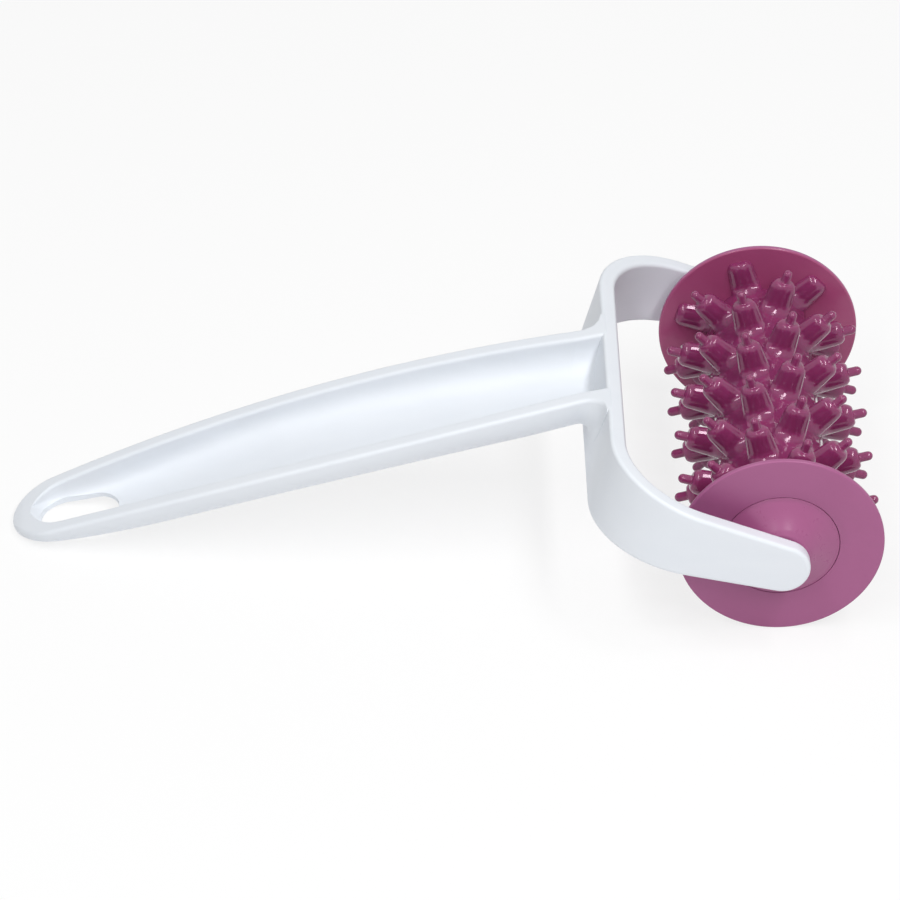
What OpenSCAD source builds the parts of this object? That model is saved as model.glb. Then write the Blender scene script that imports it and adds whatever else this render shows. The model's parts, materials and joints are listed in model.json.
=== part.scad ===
// Dough docker: a spiked roller between two discs, turning on an axle in the fork of a hollow handle.
// The roller's axis lies along Y and the handle runs towards -X.
// It rests on its two discs and on the tip of its handle, at z = 0.

/* [Roller] */
// Diameter of the two discs that the docker rolls on
disc_d = 50; // [48:0.5:54]
// Thickness of each disc
disc_t = 1.4; // [1.2:0.1:1.6]
// Width of one spiked ring along the axle
ring_w = 9; // [8.6:0.1:9.4]
// Number of spiked rings between the two discs
ring_count = 9; // [9]
// Spikes around each ring
spikes_per_ring = 6; // [6]
// Width of a ring's twelve-sided rim across its flats
rim_flats = 25.15; // [24:0.05:26]
// Turn of the whole roller from the position with a rim corner pointing at +X
roller_turn = -0.5; // [-15:0.5:15]

/* [Spikes] */
// Half width of a spike at its foot, around the roller
foot_around = 4; // [3.6:0.05:4.2]
// Half width of a spike at its foot, along the axle
foot_along = 2.7; // [2.4:0.05:3]
// Half width of a spike at its shoulder, around the roller
shoulder_around = 3.25; // [3:0.05:3.5]
// Half width of a spike at its shoulder, along the axle
shoulder_along = 2.5; // [2.2:0.05:2.8]
// Half width of a spike's top, around the roller
top_around = 2.2; // [2:0.05:2.4]
// Half width of a spike's top, along the axle
top_along = 1.9; // [1.7:0.05:2.1]
// Radius from the axis of a spike's shoulder
shoulder_r = 20.4; // [19.8:0.1:20.6]
// Radius from the axis of a spike's top
top_r = 21.5; // [21.2:0.1:21.8]
// Radius of the round pin that stands on a spike
pin_r = 1.15; // [1:0.05:1.2]
// Gap between the pins' tips and the circle of the discs' rims
pin_tip_gap = 0.2; // [0.1:0.05:0.5]

/* [Axle and spindle] */
// Diameter of the axle
axle_d = 6; // [5:0.5:6]
// Running clearance between the axle and the caps, on the radius
axle_gap = 0.05; // [0.03:0.01:0.08]
// Width of the twelve-sided spindle across its corners
spindle_corners = 16; // [15:0.5:17]
// Diameter of the round bore through the spindle
spindle_bore = 11; // [10:0.5:11]
// Clearance of parts that are pushed together, on the radius
push_gap = 0.05; // [0.04:0.01:0.1]

/* [Caps] */
// Diameter of the circular joint between a cap and its disc
cap_d = 28.5; // [27:0.5:30]
// Depth of the cap's rim in the disc
cap_sink = 0.7; // [0.6:0.05:0.8]
// Diameter of the end of the cap's cone, next to the fork
cone_end_d = 13; // [12:0.5:14]
// Gap between the end of the cone and the fork
cone_gap = 0.4; // [0.3:0.05:0.6]
// Length of the sleeve that centres the cap in the spindle
sleeve_l = 9; // [6:0.5:12]

/* [Fork] */
// Gap between a disc's outer face and the fork's arm
arm_gap = 5.1; // [4.6:0.1:5.6]
// Thickness of the band that the fork is made of
band_t = 4.2; // [3.8:0.1:4.6]
// Distance from the axle to the back of the crossbar, in the fork's own plane
bar_reach = 45.4; // [44:0.2:48]
// Radius of the fork's inner corners
fork_corner_r = 19; // [14:0.5:20]
// Radius of the arms' round ends
arm_end_r = 6.6; // [6.2:0.1:7.2]
// Drop of the round ends' centre below the axle
arm_end_drop = 0.6; // [0:0.1:0.8]
// Rise of the arms' top edge towards the crossbar, in degrees
arm_top_rise = 22; // [20:0.5:23]
// Rise of the arms' bottom edge towards the crossbar, in degrees
arm_bottom_rise = 12.8; // [11:0.2:14]
// Backward lean of the crossbar's foot, in degrees
bar_lean = 15.5; // [14:0.5:17]
// Depth of the blind hole that holds an end of the axle
socket_depth = 3.1; // [2.8:0.1:3.2]

/* [Handle] */
// Distance from the roller's axis to the tip of the handle
handle_reach = 187.3; // [184:0.1:192]
// Height of the handle's rims half way along it
rim_mid_z = 28.5; // [28:0.1:29]
// Slope of the rims half way along
rim_slope = 0.31; // [0.305:0.005:0.315]
// Height by which the rims arch above a straight line
rim_arch = 3.6; // [3.4:0.1:3.8]
// Greatest width of the handle
handle_w = 35.4; // [34:0.2:37]
// Narrowing of each side from there to the tip
tip_narrowing = 7.4; // [6.5:0.1:8]
// Distance from the roller's axis to the widest place
widest_reach = 98; // [92:1:104]
// Depth of the handle below its rims, half way along
handle_depth = 11; // [10.4:0.1:11.6]
// Extra depth at the fork's end
depth_gain = 1.5; // [1:0.1:2]
// Width of each rim
rim_w = 4.2; // [3.8:0.1:4.6]
// Thickness of the floor of the hollow, half way along
floor_t = 2.4; // [2.2:0.1:2.8]
// Thickness of the floor around the hanging slot
slot_floor_t = 1.2; // [1:0.1:1.6]
// Rounding of the rims' edges
rim_edge = 0.8; // [0.4:0.1:1]
// Squareness of the underside and of the hollow: 2 is an ellipse, more is boxier
underside_power = 2.5; // [2.2:0.1:3]
// Squareness of the hollow around the hanging slot
slot_hollow_power = 4; // [3:0.5:5]

/* [Hanging slot] */
// Length of the slot in the tip, end to end
slot_l = 19.4; // [18:0.2:21]
// Width of the slot
slot_w = 14.8; // [14:0.2:15]
// Radius of the slot's corners at the tip's end
slot_tip_r = 6.8; // [5:0.1:7]
// Radius of the slot's corners at the other end
slot_corner_r = 5.5; // [5:0.1:6.5]
// Distance from the tip of the handle to the slot
slot_from_tip = 7; // [6.6:0.1:8]

/* [Hidden] */
$fn = 64;

white = [0.90, 0.92, 0.95];
mulberry = [0.50, 0.16, 0.34];
mulberry_disc = [0.56, 0.27, 0.42];
steel = [0.72, 0.73, 0.75];

rim_sides = 12;
rim_corner_r = rim_flats / 2 / cos(180 / rim_sides);
spike_step = 360 / spikes_per_ring;
spike_sink = 0.6;
spike_foot_r = rim_flats / 2 - spike_sink;
pin_tip_r = disc_d / 2 - pin_tip_gap;
pin_sink = 0.5;
pin_foot_h = 0.5;
pin_foot_r = pin_r + 0.25;
spike_sides = 12;
shoulder_round = 0.12;
top_round = 0.35;

stack_half = ring_w * ring_count / 2;
stub_trim = 0.28;
disc_inner_y = stack_half + ring_w / 2 - stub_trim;
disc_outer_y = disc_inner_y + disc_t;
arm_inner_y = disc_outer_y + arm_gap;
arm_outer_y = arm_inner_y + band_t;

axle_x = (handle_reach - disc_d / 2) / 2;
axle_z = disc_d / 2;
axle_end_play = 0.1;
axle_half = arm_inner_y + socket_depth - axle_end_play;
spindle_end_play = 0.2;
spindle_half = disc_outer_y - cap_sink - spindle_end_play;
disc_edge = 0.3;

tip_x = -handle_reach;
bar_back_lap = 2.7;
bar_back_x = -bar_reach * cos(bar_lean) + bar_back_lap;
channel_end_x = bar_back_x + band_t / 4;
mid_x = (tip_x + bar_back_x) / 2;
half_len = (bar_back_x - tip_x) / 2;

tip_round = 3;
tip_drop = 0.7;
tip_blunt = 0.1;
tip_plan_len = 9.5;
tip_side_len = 40;
tip_rim_w = 4.4;
hollow_start_x = tip_x + tip_rim_w;
hollow_run = 5;
hollow_plan_len = 8;
least_hollow = 0.06;
least_hollow_w = 0.1;
slot_end_x = tip_x + slot_from_tip + slot_l;
floor_run = 40;
plan_fillet = 6;
side_fillet = 5;
lean_run = 20;
wall_fillet = 1;
section_steps = 12;

// Moves to the roller's axis, with the given turn about it from +X towards +Z
module at_axis(turn = 0) {
    translate([axle_x, 0, axle_z]) rotate([0, -turn, 0]) children();
}

// Solid round or many-sided bar along the axis, from y = a to y = b
module bar(r, a, b, sides = 64) {
    rotate([90, 0, 0]) translate([0, 0, -b]) cylinder(r = r, h = b - a, $fn = sides);
}

// Twelve-sided bore that fits the spindle
module spindle_hole(a, b) {
    bar(spindle_corners / 2 + push_gap, a, b, rim_sides);
}

// Faces of a closed skin over `rings` loops of `n` points each, with both ends capped
function skin_sides(rings, n) = [
    for (i = [0 : rings - 2], j = [0 : n - 1], half = [0, 1])
        let (k = (j + 1) % n, a = i * n + j, b = i * n + k, c = a + n, d = b + n)
            half == 0 ? [a, b, c] : [b, d, c]
];
function ring_caps(rings, n) = concat(
    [for (t = channel_cap(n)) [t[2], t[1], t[0]]],
    [for (t = channel_cap(n)) [for (j = t) (rings - 1) * n + j]]
);
// Triangles that close a loop whose second half runs back beside its first half
function channel_cap(n) = [
    for (i = [0 : n / 2 - 2], half = [0, 1])
        half == 0 ? [i, i + 1, n - 2 - i] : [i, n - 2 - i, n - 1 - i]
];
function skin_faces(rings, n) = concat(
    skin_sides(rings, n),
    [[for (j = [n - 1 : -1 : 0]) j]],
    [[for (j = [0 : n - 1]) (rings - 1) * n + j]]
);

// Oval loop across a spike, from its radius from the axis and its half widths along and around
function spike_loop(size) = [
    for (k = [0 : spike_sides - 1])
        let (a = (k + 0.5) * 360 / spike_sides) [size[0], size[1] * cos(a), -size[2] * sin(a)]
];

// Place at a share of the way between two sizes, and a soft bend from one to another past a corner
function between(a, b, share) = a + (b - a) * share;
function bend(a, corner, b) = [
    for (t = [0, 0.5, 1]) between(between(a, corner, t), between(corner, b, t), t)
];

// Oval body of a spike with soft shoulders, standing out along +X
module spike_body() {
    foot = [spike_foot_r, foot_along, foot_around];
    shoulder = [shoulder_r, shoulder_along, shoulder_around];
    top = [top_r, top_along, top_around];
    low = between(shoulder, foot, shoulder_round);
    middle = between(shoulder, top, 0.5);
    inner = [top_r, top_along * (1 - top_round), top_around * (1 - top_round)];
    sizes = concat([foot], bend(low, shoulder, middle), [between(middle, top, 0.7), inner]);
    loops = [for (size = sizes) spike_loop(size)];
    polyhedron(
        points = [for (loop = loops, p = loop) p],
        faces = skin_faces(len(loops), spike_sides)
    );
}

// Round pin with a domed tip and a flared foot, standing out along +X
module pin() {
    rotate([0, 90, 0]) {
        translate([0, 0, top_r - pin_sink])
            cylinder(r = pin_r, h = pin_tip_r - pin_r - top_r + pin_sink);
        translate([0, 0, pin_tip_r - pin_r]) sphere(r = pin_r);
        translate([0, 0, top_r - 0.01]) cylinder(r1 = pin_foot_r, r2 = pin_r, h = pin_foot_h);
    }
}

// Twelve-sided rim section of the roller, from y = a to y = b
module rim(a, b) {
    difference() {
        bar(rim_corner_r, a, b, rim_sides);
        spindle_hole(a - 1, b + 1);
    }
}

// Turn of the first spike at a place along the axle: every second place is turned by half a step
function first_spike(place) = spike_step / 4 + (place % 2 == 0 ? spike_step / 2 : 0);

// One spiked ring, number `place` along the axle
module spiked_ring(place) {
    middle = (place - (ring_count + 1) / 2) * ring_w;
    color(mulberry) at_axis(roller_turn) {
        rim(middle - ring_w / 2, middle + ring_w / 2);
        translate([0, middle, 0])
            for (k = [0 : spikes_per_ring - 1])
                rotate([0, -(first_spike(place) + k * spike_step), 0]) {
                    spike_body();
                    pin();
                }
    }
}

// Left end disc with half a rim section and pinless half spikes on its inner face
module disc_with_stubs() {
    color(mulberry_disc) at_axis(roller_turn) difference() {
        union() {
            rotate([-90, 0, 0]) rotate_extrude($fn = 128) polygon([
                [0, disc_inner_y], [disc_d / 2 - disc_edge, disc_inner_y],
                [disc_d / 2, disc_inner_y + disc_edge], [disc_d / 2, disc_outer_y - disc_edge],
                [disc_d / 2 - disc_edge, disc_outer_y], [0, disc_outer_y]
            ]);
            bar(rim_corner_r, stack_half, disc_inner_y + 0.5, rim_sides);
            intersection() {
                for (k = [0 : spikes_per_ring - 1])
                    translate([0, stack_half + ring_w / 2, 0])
                        rotate([0, -(first_spike(ring_count + 1) + k * spike_step), 0]) spike_body();
                bar(disc_d / 2, stack_half, disc_inner_y + 0.5);
            }
        }
        spindle_hole(stack_half - 1, disc_outer_y + 1);
        bar(cap_d / 2, disc_outer_y - cap_sink, disc_outer_y + 1);
    }
}

// Bearing cap: a flush rim, a low cone that rises to the fork and a sleeve in the spindle
module cap() {
    bore_r = axle_d / 2 + axle_gap;
    rim_r = cap_d / 2 - push_gap;
    seat_y = disc_outer_y - cap_sink;
    end_y = arm_inner_y - cone_gap;
    land = 0.5;
    color(mulberry_disc) at_axis() rotate([-90, 0, 0]) rotate_extrude($fn = 96) polygon([
        [bore_r, seat_y - sleeve_l], [spindle_bore / 2 - push_gap, seat_y - sleeve_l],
        [spindle_bore / 2 - push_gap, seat_y], [rim_r, seat_y], [rim_r, disc_outer_y],
        [cone_end_d / 2, end_y - land], [cone_end_d / 2, end_y], [bore_r, end_y]
    ]);
}

// Mirrors a left-hand part to the right-hand side
module other_side() {
    mirror([0, 1, 0]) children();
}

// Twelve-sided hollow spindle that all rings and both discs are pushed onto
module spindle() {
    color(mulberry) at_axis(roller_turn) difference() {
        bar(spindle_corners / 2, -spindle_half, spindle_half, rim_sides);
        bar(spindle_bore / 2, -spindle_half - 1, spindle_half + 1);
    }
}

// Plain rod whose ends sit in the blind holes of the fork
module axle() {
    color(steel) at_axis() bar(axle_d / 2, -axle_half, axle_half);
}

// Point where the line through p along u meets the line through q along v
function crossing(p, u, q, v) =
    let (d = q - p, t = (d.x * v.y - d.y * v.x) / (u.x * v.y - u.y * v.x)) p + t * u;

// Side view of the fork, from the axle, with z upwards as y
module fork_profile() {
    end = [0, -arm_end_drop];
    up = [sin(arm_top_rise), cos(arm_top_rise)];
    down = [-sin(arm_bottom_rise), -cos(arm_bottom_rise)];
    top_way = [-cos(arm_top_rise), sin(arm_top_rise)];
    bottom_way = [-cos(arm_bottom_rise), sin(arm_bottom_rise)];
    lean_way = [sin(bar_lean), cos(bar_lean)];
    back = [-bar_reach * cos(bar_lean), bar_reach * sin(bar_lean)];
    top_start = end + arm_end_r * up;
    bottom_start = end + arm_end_r * down;
    polygon([
        top_start, crossing(top_start, top_way, back, lean_way),
        crossing(bottom_start, bottom_way, back, lean_way), bottom_start, end
    ]);
    translate(end) circle(r = arm_end_r);
}

// Plate that runs forwards from x = -reach, with its two back corners rounded
module corner_plate(reach, half_w, r) {
    forwards = 30;
    translate([-reach + r, -half_w]) square([reach - r + forwards, 2 * half_w]);
    translate([-reach, -half_w + r]) square([r + 1, 2 * (half_w - r)]);
    for (side = [-1, 1]) translate([-reach + r, side * (half_w - r)]) circle(r = r);
}

// U-shaped fork: a band of even thickness, cut to its tapering side view
module fork() {
    intersection() {
        rotate([90, 0, 0]) linear_extrude(height = 3 * arm_outer_y, center = true) fork_profile();
        rotate([0, bar_lean, 0]) linear_extrude(height = 3 * bar_reach, center = true) difference() {
            corner_plate(bar_reach, arm_outer_y, fork_corner_r + band_t);
            corner_plate(bar_reach - band_t, arm_inner_y, fork_corner_r);
        }
    }
}

// Height of the rims above the table at x from the axle, rounded down at the very tip
function rim_z(x) =
    let (s = (x - mid_x) / half_len, t = min(1, (x - tip_x) / tip_round))
        rim_mid_z + rim_slope * (x - mid_x) - rim_arch * s * s - tip_drop * pow(1 - t, 2);

// Share of full size at distance t into a rounded end that is `len` long
function end_share(t, len) = t >= len ? 1 : sqrt(1 - pow(1 - max(t, tip_blunt) / len, 2));

// Growth of a fillet of size r at distance t before the crossbar
function fillet(t, r) = t >= r ? 0 : r - sqrt(r * r - pow(r - max(t, 0), 2));

// Half width and depth below the rims, at x from the axle
function body_half_w(x) =
    (handle_w / 2 - tip_narrowing * pow((x + widest_reach) / (handle_reach - widest_reach), 2))
        * end_share(x - tip_x, tip_plan_len) + fillet(bar_back_x - x, plan_fillet);
function plain_depth(x) = min(
    rim_z(x),
    (handle_depth + depth_gain * (x - mid_x) / half_len) * end_share(x - tip_x, tip_side_len)
);
function body_depth(x) = min(rim_z(x), plain_depth(x) + fillet(bar_back_x - x, side_fillet));

// Share of the way from the slot's inner end to the plain part of the hollow
function from_slot(x) = min(1, max(0, (x - slot_end_x) / floor_run));

// Half width, depth and squareness of the hollow, at x from the axle
function hollow_half_w(x) =
    max(least_hollow_w * body_half_w(x), (body_half_w(min(x, bar_back_x - plan_fillet)) - rim_w)
        * end_share(x - hollow_start_x, hollow_plan_len));
function hollow_depth(x) =
    let (
        t = min(1, max(0, (x - hollow_start_x) / hollow_run)),
        thickness = slot_floor_t + (floor_t - slot_floor_t) * from_slot(x)
    )
        max(least_hollow, (plain_depth(x) - thickness) * (1 - pow(1 - t, 2))
            - fillet(bar_back_x - x, wall_fillet));
function hollow_power(x) = slot_hollow_power + (underside_power - slot_hollow_power) * from_slot(x);

// Cross-section loop of the handle at x from the axle, leaning with the crossbar at its end
function handle_loop(x) =
    let (
        w = body_half_w(x), d = body_depth(x), hw = hollow_half_w(x), hd = hollow_depth(x),
        e = min(rim_edge, d / 3, w / 6), drop = min(rim_edge, hd / 2),
        lean = tan(bar_lean) * max(0, 1 - (channel_end_x - x) / lean_run),
        q = 2 / underside_power, hq = 2 / hollow_power(x),
        yz = concat(
            [[w - e, 0], [w - 0.3 * e, -0.3 * e]],
            [for (i = [0 : section_steps])
                let (a = 180 * i / section_steps)
                    [w * sign(cos(a)) * pow(abs(cos(a)), q), -e - (d - e) * pow(abs(sin(a)), q)]],
            [[-w + 0.3 * e, -0.3 * e], [-w + e, 0]],
            [[-hw - e, 0], [-hw - 0.3 * e, -0.3 * drop]],
            [for (i = [0 : section_steps])
                let (a = 180 - 180 * i / section_steps)
                    [hw * sign(cos(a)) * pow(abs(cos(a)), hq), -drop - (hd - drop) * pow(abs(sin(a)), hq)]],
            [[hw + 0.3 * e, -0.3 * drop], [hw + e, 0]]
        )
    )
    [for (p = yz) [x + lean * p.y, p.x, rim_z(x) + p.y - axle_z]];

// Stations along the handle, closer together at the tip, at the hollow's ends and at the crossbar
function stations() =
    let (floor_x = hollow_start_x + hollow_run, full_x = tip_x + tip_side_len)
        concat(
            [for (i = [0 : 5]) tip_x + tip_rim_w * (1 - cos(18 * i))],
            [for (i = [1 : 6]) hollow_start_x + i * hollow_run / 6],
            [for (i = [1 : 5]) floor_x + i * (full_x - floor_x) / 5],
            [for (i = [1 : 6]) full_x + i * (bar_back_x - plan_fillet - 1 - full_x) / 7],
            [for (t = [7, 5.5, 4, 3, 2, 1, 0.3]) bar_back_x - t],
            [channel_end_x]
        );

// Open channel that is the hand's part of the handle
module channel() {
    xs = stations();
    loops = [for (x = xs) handle_loop(x)];
    polyhedron(points = [for (loop = loops, p = loop) p], faces = concat(
        skin_sides(len(xs), len(loops[0])), ring_caps(len(xs), len(loops[0]))
    ));
}

// Upright slot with rounded corners
module slot() {
    h = 2 * axle_z;
    translate([tip_x + slot_from_tip, -slot_w / 2, -axle_z - 1]) {
        translate([slot_tip_r, 0, 0]) cube([slot_l - slot_tip_r - slot_corner_r, slot_w, h]);
        translate([0, slot_tip_r, 0]) cube([slot_l / 2, slot_w - 2 * slot_tip_r, h]);
        translate([slot_l / 2, slot_corner_r, 0]) cube([slot_l / 2, slot_w - 2 * slot_corner_r, h]);
        for (end = [[slot_tip_r, slot_tip_r], [slot_l - slot_corner_r, slot_corner_r]])
            for (y = [end[1], slot_w - end[1]])
                translate([end[0], y, 0]) cylinder(r = end[1], h = h);
    }
}

// Handle moulded in one with its fork
module handle() {
    color(white) at_axis() difference() {
        union() {
            fork();
            channel();
        }
        for (side = [-1, 1])
            rotate([side * 90, 0, 0]) translate([0, 0, arm_inner_y - 1])
                cylinder(r = axle_d / 2 + push_gap, h = socket_depth + 1);
        slot();
    }
}

handle();
axle();
spindle();
disc_with_stubs();  // left_disc
other_side() disc_with_stubs();  // right_disc
cap();  // left_cap
other_side() cap();  // right_cap
spiked_ring(1);  // ring_1
spiked_ring(2);  // ring_2
spiked_ring(3);  // ring_3
spiked_ring(4);  // ring_4
spiked_ring(5);  // ring_5
spiked_ring(6);  // ring_6
spiked_ring(7);  // ring_7
spiked_ring(8);  // ring_8
spiked_ring(9);  // ring_9
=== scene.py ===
"""Dough docker: a white forked handle, and a mulberry roller of spiked rings between two discs."""

import json
import math

import bmesh
import bpy
from mathutils import Matrix, Vector


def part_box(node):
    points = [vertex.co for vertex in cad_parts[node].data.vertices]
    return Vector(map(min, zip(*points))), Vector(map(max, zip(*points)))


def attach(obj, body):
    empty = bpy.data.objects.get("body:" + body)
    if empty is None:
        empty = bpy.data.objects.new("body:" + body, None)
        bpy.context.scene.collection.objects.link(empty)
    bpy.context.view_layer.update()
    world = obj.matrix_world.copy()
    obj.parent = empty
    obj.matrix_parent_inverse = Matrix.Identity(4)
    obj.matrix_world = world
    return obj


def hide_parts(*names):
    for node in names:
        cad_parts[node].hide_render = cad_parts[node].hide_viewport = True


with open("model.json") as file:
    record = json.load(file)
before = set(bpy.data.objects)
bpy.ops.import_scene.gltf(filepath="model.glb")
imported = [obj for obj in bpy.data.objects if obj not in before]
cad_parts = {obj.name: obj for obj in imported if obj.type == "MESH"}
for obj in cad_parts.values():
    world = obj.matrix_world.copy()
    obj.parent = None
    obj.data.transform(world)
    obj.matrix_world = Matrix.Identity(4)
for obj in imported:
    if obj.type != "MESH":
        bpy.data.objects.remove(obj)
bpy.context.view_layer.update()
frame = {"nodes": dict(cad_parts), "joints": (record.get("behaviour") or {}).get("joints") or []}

# The object's lengths are in millimetres, in a frame whose origin is the middle of the roller's axis.
MM = 0.001
AXIS = Vector(frame["joints"][0]["pos_m"])


def size_of(node):
    """Lowest and highest corners of a CAD node, in millimetres from the middle of the axis."""
    low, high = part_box(node)
    return (low - AXIS) / MM, (high - AXIS) / MM


handle_low, handle_high = size_of("handle")
disc_low, disc_high = size_of("left_disc")
ring_low, ring_high = size_of("ring_1")
CONE_END_Y = size_of("left_cap")[1].y

# Discs, and the arms of the fork beside them
DISC_R = disc_high.x
AXLE_Z = DISC_R
DISC_OUT = disc_high.y
DISC_T = 1.4
DISC_IN = DISC_OUT - DISC_T
DISC_EDGE = 0.45
DISC_SIDES = 192
# Distance from a disc's rim and from the cap's joint at which the faces are quite flat
RIM_FLAT = 6.0
JOINT_FLAT = 3.0
STACK_END = disc_low.y
ARM_OUT = handle_high.y
BAND_T = 4.2
ARM_IN = ARM_OUT - BAND_T
ARM_MID = ARM_IN + BAND_T / 2

# Rings: SEAM is left open on each side of a ring, and STUB_SINK is how far a stub goes into its disc
RING_W = ring_high.y - ring_low.y
RING_COUNT = 9
ROLLER_TURN = -0.5
RIM_SIDES = 12
RIM_FLATS = 25.15
RIM_SOFTNESS = 0.12
SPIKES_PER_RING = 6
SPINDLE_R = 8.0
BAND_HOLE_R = SPINDLE_R + 0.1
DISC_HOLE_R = SPINDLE_R + 0.2
SEAM = 0.012
STUB_SINK = 0.4

# Sizes of a spike: radius from the axis, half width along the axle and half width around it
FOOT = (12.0, 2.7, 4.0)
SHOULDER = (20.4, 2.5, 3.25)
TOP = (21.5, 1.9, 2.2)
SPIKE_SIDES = 40
PIN_R = 1.15
PIN_TIP = DISC_R - 0.2
# How far a pin's foot flares out at each height above the spike's top
PIN_FLARE = ((0.01, 0.22), (0.06, 0.1), (0.3, 0.01))
PIN_DOME_ANGLES = (20, 40, 58, 73, 84)

# Caps
AXLE_R = 3.0
RUNNING_GAP = 0.05
CAP_R = 14.25
CAP_SINK = 0.7
CAP_GAP = 0.12
CAP_LIP = 0.14
JOINT_LIP = 0.16
SLEEVE_R = 5.45
SLEEVE_L = 9.0
CONE_END_R = 6.5
CONE_EDGE = 0.25
CONE_HOLLOW = 0.08
CONE_LEDGE = 0.5
CAP_SIDES = 160

# Fork
BAR_REACH = 45.4
FORK_CORNER_R = 19.0
ARM_END_R = 6.6
ARM_END_DROP = 0.6
ARM_TOP_RISE = math.radians(22)
ARM_BOTTOM_RISE = math.radians(12.8)
# Rise and side of the arms' top and bottom edges
FORK_EDGES = ((ARM_TOP_RISE, 1), (ARM_BOTTOM_RISE, -1))
BAR_LEAN = math.radians(15.5)
FORK_EDGE = 1.0
SOCKET_DEPTH = 3.1
SOCKET_SIDES = 32

# Handle
TIP_X = handle_low.x
RIM_MID_Z = 28.5
RIM_SLOPE = 0.31
RIM_ARCH = 3.6
RIM_W = 4.2
RIM_EDGE = 1.0
TIP_ROUND = 3.0
TIP_DROP = 0.7
TIP_PLAN_LEN = 9.5
TIP_SIDE_LEN = 40.0
HANDLE_W = 35.4
TIP_NARROWING = 7.4
WIDEST_X = -98.0
HANDLE_DEPTH = 11.0
DEPTH_GAIN = 1.5
UNDERSIDE_POWER = 2.5
BAR_BACK_X = -BAR_REACH * math.cos(BAR_LEAN) + 2.7
CHANNEL_END_X = BAR_BACK_X + BAND_T / 4
MID_X = (TIP_X + BAR_BACK_X) / 2
HALF_LEN = (BAR_BACK_X - TIP_X) / 2
LEAN_RUN = 20.0
PLAN_FILLET = 6.0
SIDE_FILLET = 5.0
WALL_FILLET = 1.0
FIRST_STATION = 0.05
END_RUN = 8.0

# Hollow of the handle
HOLLOW_START_X = TIP_X + 4.4
HOLLOW_RUN = 5.0
HOLLOW_PLAN_LEN = 8.0
LEAST_HOLLOW = 0.02
LEAST_HOLLOW_SHARE = 0.1
FLOOR_T = 2.4
FLOOR_RUN = 40.0

# Hanging slot
SLOT_START_X = TIP_X + 7.0
SLOT_END_X = SLOT_START_X + 19.4
SLOT_HALF_W = 7.4
SLOT_CORNER_R = 5.5
SLOT_TIP_R = 6.8
SLOT_FLOOR_T = 1.2
SLOT_HOLLOW_POWER = 4.0


# Finishes


class Term:
    """A number socket in a node tree, which ordinary arithmetic turns into Math nodes."""

    def __init__(self, nodes, socket):
        self.nodes = nodes
        self.socket = socket

    def math(self, operation, first, second=0.0):
        """One Math node."""
        return self.nodes.add("ShaderNodeMath", {"operation": operation}, {0: first, 1: second})

    def __add__(self, other):
        return self.math("ADD", self, other)

    def __radd__(self, other):
        return self.math("ADD", other, self)

    def __rsub__(self, other):
        return self.math("SUBTRACT", other, self)

    def __mul__(self, other):
        return self.math("MULTIPLY", self, other)

    def __rmul__(self, other):
        return self.math("MULTIPLY", other, self)

    def __rtruediv__(self, other):
        return self.math("DIVIDE", other, self)

    def __abs__(self):
        return self.math("ABSOLUTE", self)

    def clamped(self):
        """The same number, kept between 0 and 1."""
        return self.math("MINIMUM", self.math("MAXIMUM", self, 0.0), 1.0)


class Nodes:
    """A node tree, to which nodes are added one by one."""

    def __init__(self, tree):
        self.tree = tree

    def add(self, kind, settings=None, sockets=None, output=0):
        """Adds one node: its settings first, then what its sockets hold or are linked to."""
        node = self.tree.nodes.new(kind)
        for key, value in (settings or {}).items():
            setattr(node, key, value)
        for key, value in (sockets or {}).items():
            self.feed(node.inputs[key], value)
        return Term(self, node.outputs[output])

    def feed(self, socket, value):
        """Links a term to a socket, or sets the socket's own value."""
        if isinstance(value, Term):
            self.tree.links.new(value.socket, socket)
        else:
            socket.default_value = value


class Finish(Nodes):
    """One moulded or drawn finish: a Principled shader and the nodes that vary it."""

    def __init__(self, name, constants):
        self.material = bpy.data.materials.new(name)
        self.material.use_nodes = True
        super().__init__(self.material.node_tree)
        self.shader = self.tree.nodes["Principled BSDF"]
        for socket, value in constants.items():
            self.shader.inputs[socket].default_value = value

    def set(self, socket, value):
        """Feeds a socket of the shader."""
        self.feed(self.shader.inputs[socket], value)

    def coordinates(self, stretch=(1, 1, 1)):
        """Object coordinates, stretched along the three axes."""
        plain = self.add("ShaderNodeTexCoord", output="Object")
        return self.add("ShaderNodeMapping", {}, {"Vector": plain, "Scale": stretch}, "Vector")

    def from_middle(self):
        """Distance along the roller's axis from the middle of the tool."""
        place = self.add("ShaderNodeTexCoord", output="Object")
        return abs(self.add("ShaderNodeSeparateXYZ", {}, {0: place}, "Y"))

    def noise(self, cycles_per_metre, stretch=(1, 1, 1), detail=2.0, roughness=0.5):
        """Soft noise between 0 and 1."""
        sockets = {
            "Vector": self.coordinates(stretch), "Scale": cycles_per_metre,
            "Detail": detail, "Roughness": roughness,
        }
        return self.add("ShaderNodeTexNoise", {}, sockets)

    def blend(self, factor, first, second):
        """Colour that goes from first to second as factor goes from 0 to 1."""
        return self.add("ShaderNodeMix", {"data_type": "RGBA"}, {0: factor, 6: first, 7: second}, 2)

    def bump(self, height, depth_mm, strength=0.5):
        """Fine relief of the surface."""
        sockets = {"Height": height, "Distance": depth_mm * MM, "Strength": strength}
        self.set("Normal", self.add("ShaderNodeBump", {}, sockets))


def rgb(red, green, blue):
    """Opaque colour."""
    return (red, green, blue, 1.0)


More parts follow.
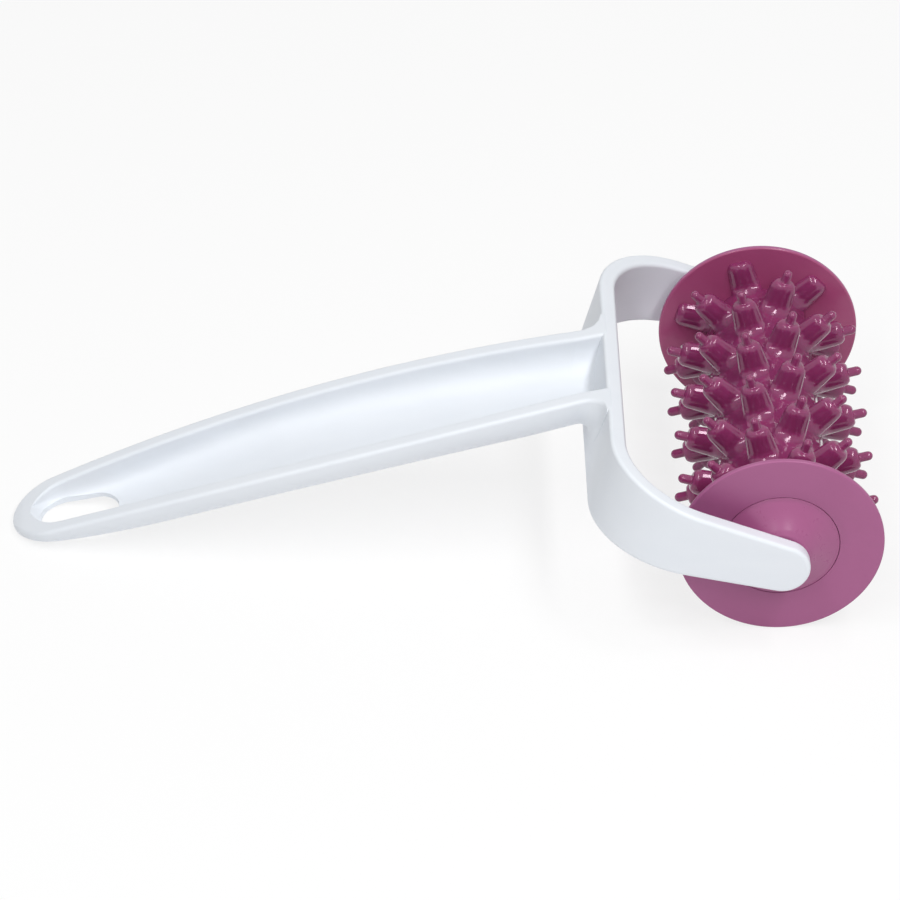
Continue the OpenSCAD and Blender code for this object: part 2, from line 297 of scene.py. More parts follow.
def handle_finish():
    """White moulded plastic with flow marks along the grip, a fine grain and faint rubbing."""
    finish = Finish("white moulded plastic", {"IOR": 1.49, "Coat IOR": 1.5, "Coat Roughness": 0.25})
    flow = finish.noise(90, stretch=(0.35, 1.6, 1.6), detail=3.0)
    rubbing = finish.noise(520, stretch=(0.5, 2.0, 2.0), detail=4.0, roughness=0.65)
    grain = finish.noise(1500)
    finish.set("Base Color", finish.blend(flow, rgb(0.765, 0.802, 0.855), rgb(0.815, 0.848, 0.893)))
    finish.set("Roughness", 0.36 + 0.12 * rubbing)
    finish.bump(grain + 0.6 * rubbing, depth_mm=0.012)
    return finish.material


def gloss_finish():
    """Glossy mulberry plastic of the spiked rings, a little translucent."""
    finish = Finish(
        "glossy mulberry plastic",
        {
            "IOR": 1.5, "Specular Tint": rgb(1.0, 0.78, 0.92),
            "Coat Weight": 0.2, "Coat Roughness": 0.06, "Coat IOR": 1.5,
            "Subsurface Weight": 0.25, "Subsurface Radius": (1.0, 0.25, 0.45), "Subsurface Scale": 0.0012,
        },
    )
    flow = finish.noise(160, detail=3.0)
    finish.set("Base Color", finish.blend(flow, rgb(0.225, 0.028, 0.11), rgb(0.27, 0.04, 0.14)))
    finish.set("Roughness", 0.08 + 0.07 * finish.noise(900, detail=3.0))
    finish.bump(finish.noise(700, detail=1.0), depth_mm=0.012)
    return finish.material


def satin_marks(finish):
    """Flow marks, rubbing and grain that the caps and the discs share."""
    flow = finish.noise(70, detail=3.0)
    rubbing = finish.noise(650, detail=5.0, roughness=0.7)
    grain = finish.noise(1900)
    return flow, rubbing, grain


def cap_finish():
    """Satin mulberry plastic of the caps, with faint rubbing and a fine grain."""
    finish = Finish("satin mulberry cap", {"IOR": 1.48})
    flow, rubbing, grain = satin_marks(finish)
    finish.set("Base Color", finish.blend(flow, rgb(0.33, 0.085, 0.21), rgb(0.36, 0.1, 0.235)))
    finish.set("Roughness", 0.22 + 0.14 * rubbing)
    finish.bump(grain + rubbing, depth_mm=0.01)
    return finish.material


def disc_finish():
    """Satin plastic of the discs' outer faces, and smoother plastic of their inner faces, which are painted
    darker and redder as shade from the roller.
    """
    finish = Finish("satin mulberry disc", {"IOR": 1.48})
    flow, rubbing, grain = satin_marks(finish)
    change_y, change_mm = DISC_IN + 0.4, 0.2
    # Share of the inner face: it sets the painted shade in the colour, and the smoother, less grainy finish.
    inner = ((change_y * MM - finish.from_middle()) * (1 / (change_mm * MM))).clamped()
    outside = finish.blend(flow, rgb(0.345, 0.092, 0.225), rgb(0.38, 0.11, 0.255))
    # Painted shade: a darker, redder copy of the discs' colour on their inner faces, standing in for the
    # roller's shadow.
    inside = finish.blend(flow, rgb(0.355, 0.064, 0.168), rgb(0.385, 0.074, 0.192))
    finish.set("Base Color", finish.blend(inner, outside, inside))
    finish.set("Roughness", 0.34 - 0.12 * inner + rubbing * (0.14 - 0.09 * inner))
    finish.bump((grain + rubbing) * (1 - 0.8 * inner), depth_mm=0.01)
    return finish.material


def steel_finish():
    """Drawn steel rod with fine lines along its length."""
    finish = Finish("drawn steel", {"Metallic": 1.0})
    lines = finish.noise(4000, stretch=(1, 0.02, 1), detail=3.0)
    finish.set("Base Color", finish.blend(lines, rgb(0.5, 0.51, 0.53), rgb(0.66, 0.67, 0.69)))
    finish.set("Roughness", 0.22 + 0.2 * lines)
    finish.bump(lines, depth_mm=0.008, strength=0.4)
    return finish.material


# Mesh helpers


def link(name, data):
    """New object of a mesh, a camera or a lamp, at the world's origin."""
    obj = bpy.data.objects.new(name, data)
    bpy.context.scene.collection.objects.link(obj)
    return obj


def all_smooth(mesh):
    """Marks every face as smooth."""
    mesh.polygons.foreach_set("use_smooth", [True] * len(mesh.polygons))


def solid(name, points, faces):
    """Closed mesh object from points in millimetres from the middle of the axis."""
    mesh = bpy.data.meshes.new(name)
    mesh.from_pydata([AXIS + Vector(p) * MM for p in points], [], faces)
    bm = bmesh.new()
    bm.from_mesh(mesh)
    bmesh.ops.remove_doubles(bm, verts=bm.verts, dist=1e-7)
    bmesh.ops.recalc_face_normals(bm, faces=bm.faces)
    bm.to_mesh(mesh)
    bm.free()
    all_smooth(mesh)
    return link(name, mesh)


def skin(loops, caps=True):
    """Points and faces of a skin over loops that all have the same number of points."""
    n = len(loops[0])
    last = (len(loops) - 1) * n
    points = [p for loop in loops for p in loop]
    faces = []
    for base in range(0, last, n):
        for j in range(n):
            k = (j + 1) % n
            faces.append((base + j, base + k, base + n + k, base + n + j))
    if caps:
        faces += [tuple(range(n)), tuple(range(last, last + n))]
    return points, faces


def quarter(steps):
    """Angles from 0 to a quarter turn."""
    return [i / steps * math.pi / 2 for i in range(steps + 1)]


def circle(steps):
    """Angles of a full turn, without the last."""
    return [2 * math.pi * i / steps for i in range(steps)]


def arc(centre, r, start, end, steps):
    """Points on a circular arc between two angles in degrees."""
    angles = [math.radians(start + (end - start) * i / steps) for i in range(steps + 1)]
    return [(centre[0] + r * math.cos(a), centre[1] + r * math.sin(a)) for a in angles]


def turned(name, profile, turns):
    """Solid about the axis from (distance along the axis, radius) points, at the given angles."""
    loops = [[(r * math.cos(a), y, r * math.sin(a)) for y, r in profile] for a in turns]
    return solid(name, *skin(loops + loops[:1], caps=False))


def lerp(a, b, share):
    """Point or size at a share of the way from a to b."""
    return tuple(p + (q - p) * share for p, q in zip(a, b))


def finished(obj):
    """The object's evaluated mesh as a plain mesh, with its modifiers gone."""
    graph = bpy.context.evaluated_depsgraph_get()
    mesh = bpy.data.meshes.new_from_object(obj.evaluated_get(graph))
    obj.modifiers.clear()
    obj.data = mesh
    return obj


def remove(obj):
    """Takes a tool object out of the scene."""
    bpy.data.objects.remove(obj, do_unlink=True)


def cut(obj, tool, operation="DIFFERENCE"):
    """Takes the tool's shape out of obj, or adds it with UNION."""
    modifier = obj.modifiers.new("cut", "BOOLEAN")
    modifier.operation = operation
    modifier.solver = "EXACT"
    modifier.object = tool
    finished(obj)
    remove(tool)
    return obj


def mirrored(name, obj):
    """Copy of obj on the other side of the roller."""
    mesh = obj.data.copy()
    mesh.transform(Matrix.Diagonal((1, -1, 1, 1)))
    mesh.flip_normals()
    return link(name, mesh)


def soften(obj):
    """Smooth shading that keeps broad faces flat, for softly rounded moulded edges."""
    all_smooth(obj.data)
    modifier = obj.modifiers.new("weighted", "WEIGHTED_NORMAL")
    modifier.mode = "FACE_AREA"
    modifier.weight = 60
    modifier.keep_sharp = True
    return finished(obj)


# Handle


def fillet(t, r):
    """Growth of a fillet of radius r at distance t before the crossbar."""
    return 0.0 if t >= r else r - math.sqrt(r * r - (r - max(t, 0.0)) ** 2)


def end_share(t, length):
    """Share of full size at distance t into a rounded end of that length."""
    return 1.0 if t >= length else math.sqrt(1 - (1 - max(t, 0.0) / length) ** 2)


def rim_z(x):
    """Height of the rims above the table."""
    s = (x - MID_X) / HALF_LEN
    t = min(1.0, (x - TIP_X) / TIP_ROUND)
    return RIM_MID_Z + RIM_SLOPE * (x - MID_X) - RIM_ARCH * s * s - TIP_DROP * (1 - t) ** 2


def body_half_w(x):
    """Half width of the grip."""
    narrowing = TIP_NARROWING * ((x - WIDEST_X) / (WIDEST_X - TIP_X)) ** 2
    plain = (HANDLE_W / 2 - narrowing) * end_share(x - TIP_X, TIP_PLAN_LEN)
    return plain + fillet(BAR_BACK_X - x, PLAN_FILLET)


def plain_depth(x):
    """Depth of the grip below its rims, without the fillet at the crossbar."""
    full = HANDLE_DEPTH + DEPTH_GAIN * (x - MID_X) / HALF_LEN
    return min(rim_z(x), full * end_share(x - TIP_X, TIP_SIDE_LEN))


def body_depth(x):
    """Depth of the grip below its rims."""
    return min(rim_z(x), plain_depth(x) + fillet(BAR_BACK_X - x, SIDE_FILLET))


def from_slot(x):
    """Share of the way from the slot's inner end to the plain part of the hollow."""
    return min(1.0, max(0.0, (x - SLOT_END_X) / FLOOR_RUN))


def hollow_half_w(x):
    """Half width of the hollow."""
    inside = body_half_w(min(x, BAR_BACK_X - PLAN_FILLET)) - RIM_W
    least = LEAST_HOLLOW_SHARE * body_half_w(x)
    return max(least, inside * end_share(x - HOLLOW_START_X, HOLLOW_PLAN_LEN))


def hollow_depth(x):
    """Depth of the hollow's floor below the rims."""
    t = min(1.0, max(0.0, (x - HOLLOW_START_X) / HOLLOW_RUN))
    floor_t = SLOT_FLOOR_T + (FLOOR_T - SLOT_FLOOR_T) * from_slot(x)
    sloped = (plain_depth(x) - floor_t) * (1 - (1 - t) ** 2)
    return max(LEAST_HOLLOW, sloped - fillet(BAR_BACK_X - x, WALL_FILLET))


def squared_arch(half_w, top, bottom, power, turns):
    """Lower half of a squared oval that hangs below top, at the given angles."""
    q = 2 / power
    return [
        (half_w * math.copysign(abs(math.cos(a)) ** q, math.cos(a)), top + (bottom - top) * math.sin(a) ** q)
        for a in turns
    ]


def channel_loop(x, steps=36):
    """Cross-section of the grip at x: rims, rounded underside and hollow."""
    w, d, hw, hd = body_half_w(x), body_depth(x), hollow_half_w(x), hollow_depth(x)
    e, drop = min(RIM_EDGE, d / 3, w / 6), min(RIM_EDGE, hd / 2)
    hollow_power = SLOT_HOLLOW_POWER + (UNDERSIDE_POWER - SLOT_HOLLOW_POWER) * from_slot(x)
    turns = [math.pi * i / steps for i in range(1, steps)]
    bends = [(math.sin(a), math.cos(a)) for a in quarter(4)]
    section = [(w - e + e * s, -e + e * c) for s, c in bends]
    section += squared_arch(w, -e, -d, UNDERSIDE_POWER, turns)
    section += [(-w + e - e * c, -e + e * s) for s, c in bends]
    section += [(-hw - e + e * s, -drop + drop * c) for s, c in bends]
    section += squared_arch(hw, -drop, -hd, hollow_power, reversed(turns))
    section += [(hw + e - e * c, -drop + drop * s) for s, c in bends]
    lean = math.tan(BAR_LEAN) * max(0.0, 1 - (CHANNEL_END_X - x) / LEAN_RUN)
    z = rim_z(x) - AXLE_Z
    return [(x + lean * p[1], p[0], z + p[1]) for p in section]


def channel_stations(tip_steps=60, middle_steps=50, end_steps=20):
    """Places of the cross-sections, closer together at the tip and at the crossbar."""
    first = [TIP_X + FIRST_STATION + TIP_SIDE_LEN * (1 - math.cos(a)) for a in quarter(tip_steps)]
    last = [BAR_BACK_X - END_RUN * (1 - i / end_steps) for i in range(end_steps + 1)] + [CHANNEL_END_X]
    middle = [first[-1] + (last[0] - first[-1]) * i / middle_steps for i in range(1, middle_steps)]
    return first + middle + last


def channel():
    """Open channel that is the hand's part of the handle, closed at both ends."""
    loops = [channel_loop(x) for x in channel_stations()]
    points, faces = skin(loops, caps=False)
    n = len(loops[0])
    for base in (0, (len(loops) - 1) * n):
        for i in range(n // 2 - 1):
            faces.append((base + i, base + i + 1, base + n - 2 - i, base + n - 1 - i))
    return solid("channel", points, faces)


def in_fork_plane(x, z):
    """(along, up) in the fork's own leaning frame of a side-view point."""
    cos, sin = math.cos(BAR_LEAN), math.sin(BAR_LEAN)
    return x * cos - z * sin, x * sin + z * cos


def from_fork_plane(p):
    """Point of the object from one in the fork's leaning frame."""
    along, y, up = p
    cos, sin = math.cos(BAR_LEAN), math.sin(BAR_LEAN)
    return along * cos + up * sin, y, -along * sin + up * cos


def edge_start(rise, side):
    """Side-view point where the arms' top (side 1) or bottom (side -1) edge leaves the round end."""
    return side * ARM_END_R * math.sin(rise), -ARM_END_DROP + side * ARM_END_R * math.cos(rise)


def edge_height(rise, side, along):
    """Height over the fork's plane of the arms' top or bottom edge."""
    x, z = edge_start(rise, side)
    a = in_fork_plane(x, z)
    b = in_fork_plane(x - math.cos(rise), z + math.sin(rise))
    return a[1] + (b[1] - a[1]) / (b[0] - a[0]) * (along - a[0])


# A station of the fork is a function that gives two points for an offset across the band, t, and the
# inset of the rounded edges there.


def straight_station(x, y, across):
    """Station on an arm, a corner or the crossbar, where across points out of the band."""

    def points(t, inset):
        """Its points on the top and on the bottom edge."""
        px, py = x + across[0] * t, y + across[1] * t
        return [(px, py, edge_height(rise, side, px) - side * inset) for rise, side in FORK_EDGES]
    return points


def round_station(share):
    """Station on the round end of the left arm, from its foremost point (0) to the edges' start (1)."""
    along, up = in_fork_plane(0.0, -ARM_END_DROP)
    starts = [in_fork_plane(*edge_start(rise, side)) for rise, side in FORK_EDGES]
    angles = [share * math.atan2(start[1] - up, start[0] - along) for start in starts]

    def points(t, inset):
        """Its points on the top and on the bottom edge."""
        r = ARM_END_R - inset
        return [(along + r * math.cos(a), ARM_MID + t, up + r * math.sin(a)) for a in angles]
    return points


def other_arm(points):
    """The same station on the other side of the fork."""
    return lambda t, inset: [(p[0], -p[1], p[2]) for p in points(t, inset)]


def fork_stations(end_steps=24, arm_steps=14, corner_steps=30, bar_steps=20):
    """Stations from the round end of the left arm along the band to that of the right arm."""
    corner_x, corner_y = -BAR_REACH + BAND_T + FORK_CORNER_R, ARM_IN - FORK_CORNER_R
    mid_r = FORK_CORNER_R + BAND_T / 2
    arm_x = min(in_fork_plane(*edge_start(rise, side))[0] for rise, side in FORK_EDGES)
    half = [round_station(math.sin(a)) for a in quarter(end_steps)]
    for i in range(1, arm_steps):
        half.append(straight_station(arm_x + (corner_x - arm_x) * i / arm_steps, ARM_MID, (0, 1)))
    for a in quarter(corner_steps):
        across = (-math.sin(a), math.cos(a))
        half.append(straight_station(corner_x + mid_r * across[0], corner_y + mid_r * across[1], across))
    for i in range(1, bar_steps):
        half.append(straight_station(corner_x - mid_r, corner_y * (1 - i / bar_steps), (-1, 0)))
    middle = [straight_station(corner_x - mid_r, 0.0, (-1, 0))]
    return half + middle + [other_arm(station) for station in reversed(half)]


def fork(side_steps=8):
    """U-shaped band of even thickness with all its edges rounded."""
    flat = BAND_T / 2 - FORK_EDGE
    bend = [(flat + FORK_EDGE * math.sin(a), FORK_EDGE - FORK_EDGE * math.cos(a)) for a in quarter(5)]
    offsets = [(-t, inset) for t, inset in reversed(bend)] + [(0.0, 0.0)] + bend
    shares = [i / side_steps for i in range(1, side_steps)]
    loops = []
    for station in fork_stations():
        tops = [station(t, inset)[0] for t, inset in offsets]
        lows = [station(t, inset)[1] for t, inset in reversed(offsets)]
        outer = [lerp(tops[-1], lows[0], share) for share in shares]
        inner = [lerp(lows[-1], tops[0], share) for share in shares]
        loops.append([from_fork_plane(p) for p in tops + outer + lows + inner])
    return solid("fork", *skin(loops, caps=False))


def slot_tool():
    """Upright prism of the hanging slot, with rounded corners, from below the tip to above it."""
    r, tip_r = SLOT_CORNER_R, SLOT_TIP_R
    right, left = SLOT_END_X - r, SLOT_START_X + tip_r
    side, tip_side = SLOT_HALF_W - r, SLOT_HALF_W - tip_r
    outline = arc((right, side), r, 0, 90, 16) + arc((left, tip_side), tip_r, 90, 180, 16)
    outline += arc((left, -tip_side), tip_r, 180, 270, 16) + arc((right, -side), r, 270, 360, 16)
    below, above = -AXLE_Z - 2, 5
    return solid("slot", *skin([[(x, y, z) for x, y in outline] for z in (below, above)]))


def socket_tool(side):
    """Blind hole for one end of the axle."""
    r = AXLE_R + RUNNING_GAP
    ends = [side * (ARM_IN - 1), side * (ARM_IN + SOCKET_DEPTH)]
    loops = [[(r * math.cos(a), y, r * math.sin(a)) for a in circle(SOCKET_SIDES)] for y in ends]
    return solid("socket", *skin(loops))


def handle(finish, sharpest=38):
    """Grip and fork as one moulding; edges of more than the sharpest angle stay crisp."""
    grip = cut(channel(), slot_tool())
    piece = cut(cut(fork(), socket_tool(1)), socket_tool(-1))
    cut(piece, grip, "UNION")
    piece.name = "moulded_handle"
    piece.data.set_sharp_from_angle(angle=math.radians(sharpest))
    soften(piece)
    piece.data.materials.clear()
    piece.data.materials.append(finish)
    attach(piece, "handle_frame")
    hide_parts("handle")


# Roller


def oval(r, along, around):
    """Oval loop across a spike or a pin that stands along +X."""
    return [(r, along * math.cos(a), -around * math.sin(a)) for a in circle(SPIKE_SIDES)]


def scaled_top(share):
    """The flat top of a spike, drawn in to a share of its size."""
    return (TOP[0], TOP[1] * share, TOP[2] * share)


def bent(start, corner, end, steps):
    """Sizes along a soft bend from start to end that is pulled towards the corner."""
    shares = [i / steps for i in range(steps + 1)]
    return [lerp(lerp(start, corner, t), lerp(corner, end, t), t) for t in shares]


def pin_sizes():
    """(radius from the axis, radius of the pin) from its flared foot to its domed tip."""
    dome = PIN_TIP - PIN_R
    sizes = [(TOP[0] + height, PIN_R + flare) for height, flare in PIN_FLARE] + [(dome, PIN_R)]
    for a in PIN_DOME_ANGLES:
        a = math.radians(a)
        sizes.append((dome + PIN_R * math.sin(a), PIN_R * math.cos(a)))
    return sizes


def spike_tool(with_pin):
    """One spike that stands along +X, with a soft shoulder and top, about the world's origin."""
    sizes = [FOOT, lerp(FOOT, SHOULDER, 0.5)]
    sizes += bent(lerp(FOOT, SHOULDER, 0.88), SHOULDER, lerp(SHOULDER, TOP, 0.5), 6)
    sizes += bent(lerp(SHOULDER, TOP, 0.7), TOP, scaled_top(0.75), 4)
    if with_pin:
        sizes += [(r, radius, radius) for r, radius in pin_sizes()]
    else:
        sizes.append(scaled_top(0.5))
    return at_origin(solid("spike", *skin([oval(*size) for size in sizes])))


def at_origin(obj):
    """Shifts the mesh so that the middle of the axis is the world's origin."""
    obj.data.transform(Matrix.Translation(-AXIS))
    return obj


def band_tool(low, high):
    """Twelve-sided band between two places along the axis, about the world's origin."""
    outer_r = RIM_FLATS / 2 / math.cos(math.pi / RIM_SIDES)
    rise = RIM_SOFTNESS * 0.35
    profile = [
        (low, BAND_HOLE_R), (low, outer_r - RIM_SOFTNESS), (low + rise, outer_r),
        (high - rise, outer_r), (high, outer_r - RIM_SOFTNESS), (high, BAND_HOLE_R),
    ]
    band = at_origin(turned("band", profile, circle(RIM_SIDES)))
    band.data.transform(Matrix.Rotation(-math.radians(ROLLER_TURN), 4, "Y"))
    return band


def ring_inputs(tree):
    for name, kind in (
        ("Band", "Object"), ("Spike", "Object"), ("Finish", "Material"), ("Spikes", "Int"),
        ("First angle", "Float"), ("Place", "Float"), ("Centre", "Vector"),
    ):
        tree.interface.new_socket(name, in_out="INPUT", socket_type="NodeSocket" + kind)
    tree.interface.new_socket("Geometry", in_out="OUTPUT", socket_type="NodeSocketGeometry")


def given(nodes, name):
    """One of the named inputs of a tree."""
    return nodes.add("NodeGroupInput", output=name)


def given_mesh(nodes, name):
    """Mesh of the object that one of the named inputs holds."""
    own = {"transform_space": "ORIGINAL"}
    return nodes.add("GeometryNodeObjectInfo", own, {"Object": given(nodes, name)}, "Geometry")


def placed_spikes(nodes):
    """Nodes that set the spikes around the axis, at their place along it."""
    points = nodes.add("GeometryNodePoints", {}, {"Count": given(nodes, "Spikes")})
    step = 2 * math.pi / given(nodes, "Spikes")
    angle = nodes.add("GeometryNodeInputIndex") * step + given(nodes, "First angle")
    spikes = nodes.add("GeometryNodeInstanceOnPoints", {}, {
        "Points": points, "Instance": given_mesh(nodes, "Spike"),
        "Rotation": nodes.add("ShaderNodeCombineXYZ", {}, {"Y": angle * -1.0}),
    })
    whole = nodes.add("GeometryNodeRealizeInstances", {}, {0: spikes})
    place = nodes.add("ShaderNodeCombineXYZ", {}, {"Y": given(nodes, "Place")})
    return nodes.add("GeometryNodeTransform", {}, {"Geometry": whole, "Translation": place})


def ring_tree():
    """Geometry Nodes tree that sets spikes around the axis and joins them to their band."""
    tree = bpy.data.node_groups.new("spiked ring", "GeometryNodeTree")
    ring_inputs(tree)
    nodes = Nodes(tree)
    union = nodes.add("GeometryNodeMeshBoolean", {"operation": "UNION", "solver": "EXACT"}, output="Mesh")
    for part in (given_mesh(nodes, "Band"), placed_spikes(nodes)):
        nodes.feed(union.socket.node.inputs["Mesh 2"], part)
    home = nodes.add("GeometryNodeTransform", {}, {"Geometry": union, "Translation": given(nodes, "Centre")})
    flat = nodes.add("GeometryNodeRealizeInstances", {}, {0: home})
    painted = nodes.add("GeometryNodeSetMaterial", {}, {0: flat, "Material": given(nodes, "Finish")})
    nodes.feed(tree.nodes.new("NodeGroupOutput").inputs[0], painted)
    return tree


def run_tree(name, tree, values):
    """Plain mesh object from a tree with its named inputs set by their identifiers."""
    obj = link(name, bpy.data.meshes.new(name))
    modifier = obj.modifiers.new("make", "NODES")
    modifier.node_group = tree
    for item in tree.interface.items_tree:
        if item.in_out == "INPUT" and item.name in values:
            modifier[item.identifier] = values[item.name]
    return finished(obj)


def first_spike(place):
    """Angle of the first spike at a place along the axle: every second place turns by half a step."""
    step = 360 / SPIKES_PER_RING
    return math.radians(ROLLER_TURN + step / 4 + (step / 2 if place % 2 == 0 else 0))


def spiked_band(name, tree, finish, band, spike, number, place):
    """A band with its spikes, as a softened mesh; number tells which way its spikes are turned."""
    piece = run_tree(name, tree, {
        "Band": band, "Spike": spike, "Finish": finish, "Spikes": SPIKES_PER_RING,
        "First angle": first_spike(number), "Place": place * MM, "Centre": AXIS,
    })
    remove(band)
    return soften(piece)


def spiked_rings(finish, tree):
    """The nine rings, every second one turned by half a step."""
    spike = spike_tool(True)
    half = RING_W / 2 - SEAM
    for number in range(1, RING_COUNT + 1):
        middle = (number - (RING_COUNT + 1) / 2) * RING_W
        band = band_tool(middle - half, middle + half)
        piece = spiked_band("spiked_ring_%d" % number, tree, finish, band, spike, number, middle)
        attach(piece, "roller")
        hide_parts("ring_%d" % number)
    remove(spike)


def disc_profile():
    """Half section of a disc: (distance along the axis, radius) points, with a round rim."""
    seat, flat_r = DISC_OUT - CAP_SINK, DISC_R - RIM_FLAT
    profile = [(DISC_IN, DISC_HOLE_R), (DISC_IN, CAP_R), (DISC_IN, flat_r)]
    profile += arc((DISC_IN + DISC_EDGE, DISC_R - DISC_EDGE), DISC_EDGE, 180, 90, 6)
    profile += arc((DISC_OUT - DISC_EDGE, DISC_R - DISC_EDGE), DISC_EDGE, 90, 0, 6)
    profile += [(DISC_OUT, flat_r), (DISC_OUT, CAP_R + JOINT_FLAT)]
    profile += arc((DISC_OUT - JOINT_LIP, CAP_R + JOINT_LIP), JOINT_LIP, 0, -90, 4)
    return profile + [(seat, CAP_R), (seat, DISC_HOLE_R)]


def half_spike_tool():
    """Half of a pinless spike at the stack's end, cut off where it enters the disc."""
    tool = spike_tool(False)
    tool.data.transform(Matrix.Translation((0, (STACK_END + RING_W / 2) * MM, 0)))
    bm = bmesh.new()
    bm.from_mesh(tool.data)
    bmesh.ops.bisect_plane(
        bm, geom=bm.verts[:] + bm.edges[:] + bm.faces[:], plane_co=(0, (DISC_IN + STUB_SINK) * MM, 0),
        plane_no=(0, 1, 0), clear_outer=True,
    )
    bmesh.ops.holes_fill(bm, edges=[e for e in bm.edges if e.is_boundary])
    bmesh.ops.recalc_face_normals(bm, faces=bm.faces)
    bm.to_mesh(tool.data)
    bm.free()
    return tool


def discs(satin, gloss, tree):
    """Both end discs with their half bands and half spikes."""
    plate = soften(turned("plate", disc_profile(), circle(DISC_SIDES)))
    plate.data.materials.append(satin)
    spike = half_spike_tool()
    band = band_tool(STACK_END, DISC_IN + STUB_SINK)
    stubs = spiked_band("stubs", tree, gloss, band, spike, RING_COUNT + 1, 0.0)
    remove(spike)
    for part, source, slot in (("disc", plate, "disc_plastic"), ("disc_stubs", stubs, "roller_plastic")):
        right = mirrored("right_%s_piece" % part, source)
        source.name = "left_%s_piece" % part
        for side, piece in (("left", source), ("right", right)):
            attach(piece, "roller")
            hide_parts(side + "_disc")


def cap_profile(cone_steps=12):
    """Half section of a cap: sleeve, flush rim and low, slightly hollow cone up to the fork."""
    seat, bore = DISC_OUT - CAP_SINK, AXLE_R + RUNNING_GAP
    rim_r = CAP_R - CAP_GAP
    foot_r, rise = rim_r - CONE_LEDGE, CONE_END_Y - DISC_OUT
    profile = [(seat - SLEEVE_L, bore), (seat - SLEEVE_L, SLEEVE_R), (seat, SLEEVE_R), (seat, rim_r)]
    profile += arc((DISC_OUT - CAP_LIP, rim_r - CAP_LIP), CAP_LIP, 90, 0, 4)
    for i in range(cone_steps + 1):
        s = i / cone_steps
        y = DISC_OUT + rise * (s - CONE_HOLLOW * math.sin(math.pi * s))
        profile.append((y - CONE_EDGE * (s == 1), foot_r + (CONE_END_R - foot_r) * s))
    return profile + [(CONE_END_Y, CONE_END_R - CONE_EDGE), (CONE_END_Y, bore)]


def caps(finish):
    """Both bearing caps."""
    left = soften(turned("left_bearing_cap", cap_profile(), circle(CAP_SIDES)))
    left.data.materials.append(finish)
    for side, piece in (("left", left), ("right", mirrored("right_bearing_cap", left))):
        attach(piece, "roller")
        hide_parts(side + "_cap")


def paint_node(node, material):
    """Gives a CAD node that stays its better finish."""
    for slot in frame["nodes"][node].material_slots:
        slot.material = material


# Camera, light and floor

VIEW_ELEVATION = math.radians(35.89)
VIEW_AZIMUTH = math.radians(-1.12)
VIEW_DISTANCE = 57.9 * DISC_R
AXIS_PIXEL = (768.8, 433.5)
LENS_PIXELS = 5866.0
PICTURE = 900
SENSOR = 36.0
WORLD_LIGHT = 0.3
FLOOR_GLOW = 0.8
# In metres: what the camera sees as farthest, a strip lamp's width and length, and half the floor
FAR_CLIP = 100
STRIP = (0.14, 1.2)
FLOOR_HALF = 6.0


def camera():
    """Camera at the photograph's viewing angle, with the roller's axis at its pixel."""
    ce, se = math.cos(VIEW_ELEVATION), math.sin(VIEW_ELEVATION)
    ca, sa = math.cos(VIEW_AZIMUTH), math.sin(VIEW_AZIMUTH)
    back = Vector((sa * ce, -ca * ce, se))
    right = Vector((ca, sa, 0.0))
    up = back.cross(right)
    across, down = [(p - PICTURE / 2) / LENS_PIXELS * VIEW_DISTANCE for p in AXIS_PIXEL]
    place = AXIS + (back * VIEW_DISTANCE - right * across + up * down) * MM
    data = bpy.data.cameras.new("camera")
    data.sensor_width = SENSOR
    data.lens = LENS_PIXELS * SENSOR / PICTURE
    data.clip_end = FAR_CLIP
    obj = link("camera", data)
    turn = Matrix((right, up, back)).transposed()
    obj.matrix_world = Matrix.Translation(place) @ turn.to_4x4()
    bpy.context.scene.camera = obj


def strip_lamp(name, place, power):
    """Long soft lamp that runs along the roller and faces it."""
    data = bpy.data.lights.new(name, "AREA")
    data.shape = "RECTANGLE"
    data.size, data.size_y = STRIP
    data.energy = power
    away = Vector((place[0] - AXIS.x, 0.0, place[2] - AXIS.z)).normalized()
    along = Vector((0.0, 1.0, 0.0))
    turn = Matrix((along.cross(away), along, away)).transposed()
    link(name, data).matrix_world = Matrix.Translation(place) @ turn.to_4x4()


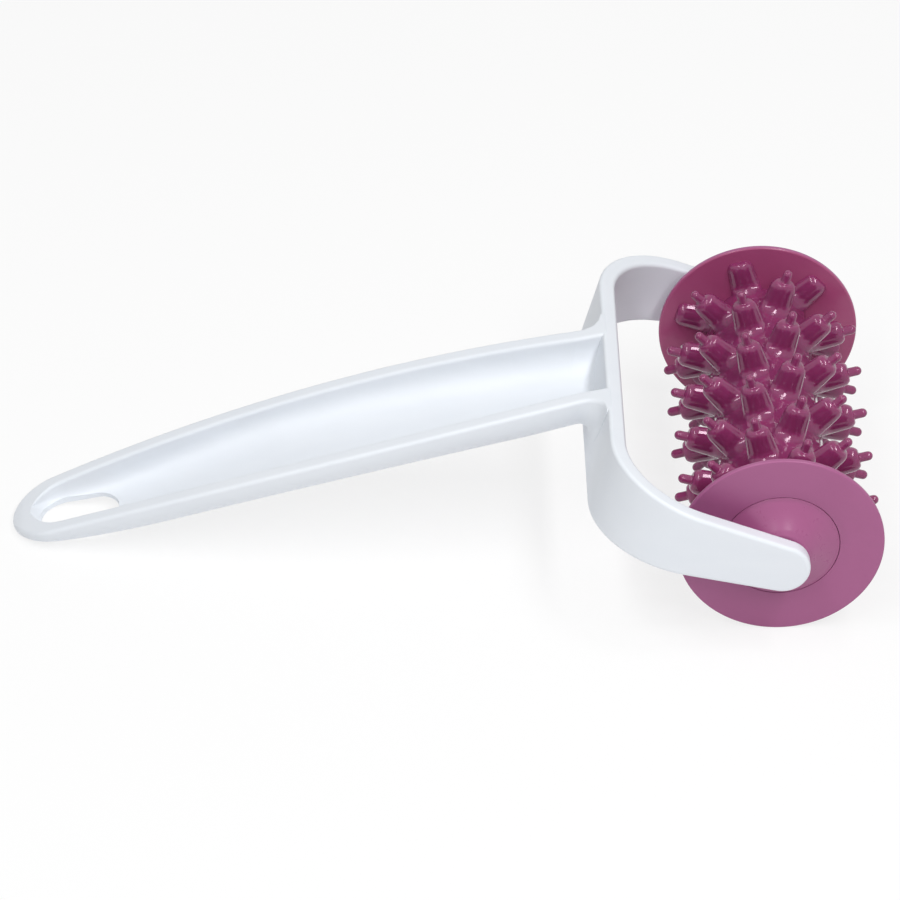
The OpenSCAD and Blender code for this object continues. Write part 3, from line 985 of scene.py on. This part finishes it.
def seen_directly(nodes):
    """1 for rays from the camera, off glossy pieces and through clear ones, and 0 for all others."""
    rays = ("Is Camera Ray", "Is Glossy Ray", "Is Transmission Ray")
    first, second, third = [nodes.add("ShaderNodeLightPath", output=ray) for ray in rays]
    return (first + second + third).clamped()


def surroundings():
    """White surroundings at full strength to the camera and in reflections, and dimmer as light."""
    world = bpy.data.worlds.new("surroundings")
    world.use_nodes = True
    nodes = Nodes(world.node_tree)
    white = world.node_tree.nodes["Background"].inputs
    nodes.feed(white["Color"], rgb(1, 1, 1))
    nodes.feed(white["Strength"], WORLD_LIGHT + (1 - WORLD_LIGHT) * seen_directly(nodes))
    bpy.context.scene.world = world


def floor_finish():
    """Pale matt floor that glows white to the camera and in reflections, and keeps its shadows."""
    paint = Finish("pale floor", {"Roughness": 0.9, "Base Color": rgb(0.93, 0.93, 0.93)})
    plain = Term(paint, paint.shader.outputs[0])
    glow = paint.add("ShaderNodeEmission", {}, {"Color": rgb(1, 1, 1), "Strength": 1.0})
    share = seen_directly(paint) * FLOOR_GLOW
    shown = paint.add("ShaderNodeMixShader", {}, {0: share, 1: plain, 2: glow})
    paint.feed(paint.tree.nodes["Material Output"].inputs["Surface"], shown)
    return paint.material


def studio():
    """Pale floor, white surroundings and two soft strip lamps overhead."""
    surroundings()
    strip_lamp("right strip", (0.45, -0.6, 1.0), 8.4)
    strip_lamp("left strip", (-0.3, -0.6, 1.0), 5.6)
    mesh = bpy.data.meshes.new("floor")
    corners = [(FLOOR_HALF * x, FLOOR_HALF * y, 0) for x, y in ((-1, -1), (1, -1), (1, 1), (-1, 1))]
    mesh.from_pydata(corners, [], [(0, 1, 2, 3)])
    mesh.materials.append(floor_finish())
    link("floor", mesh)


camera()
gloss = gloss_finish()
handle(handle_finish())
ring_nodes = ring_tree()
spiked_rings(gloss, ring_nodes)
discs(disc_finish(), gloss, ring_nodes)
caps(cap_finish())
paint_node("spindle", gloss)
paint_node("axle", steel_finish())
studio()
bpy.context.scene.view_settings.view_transform = "Standard"
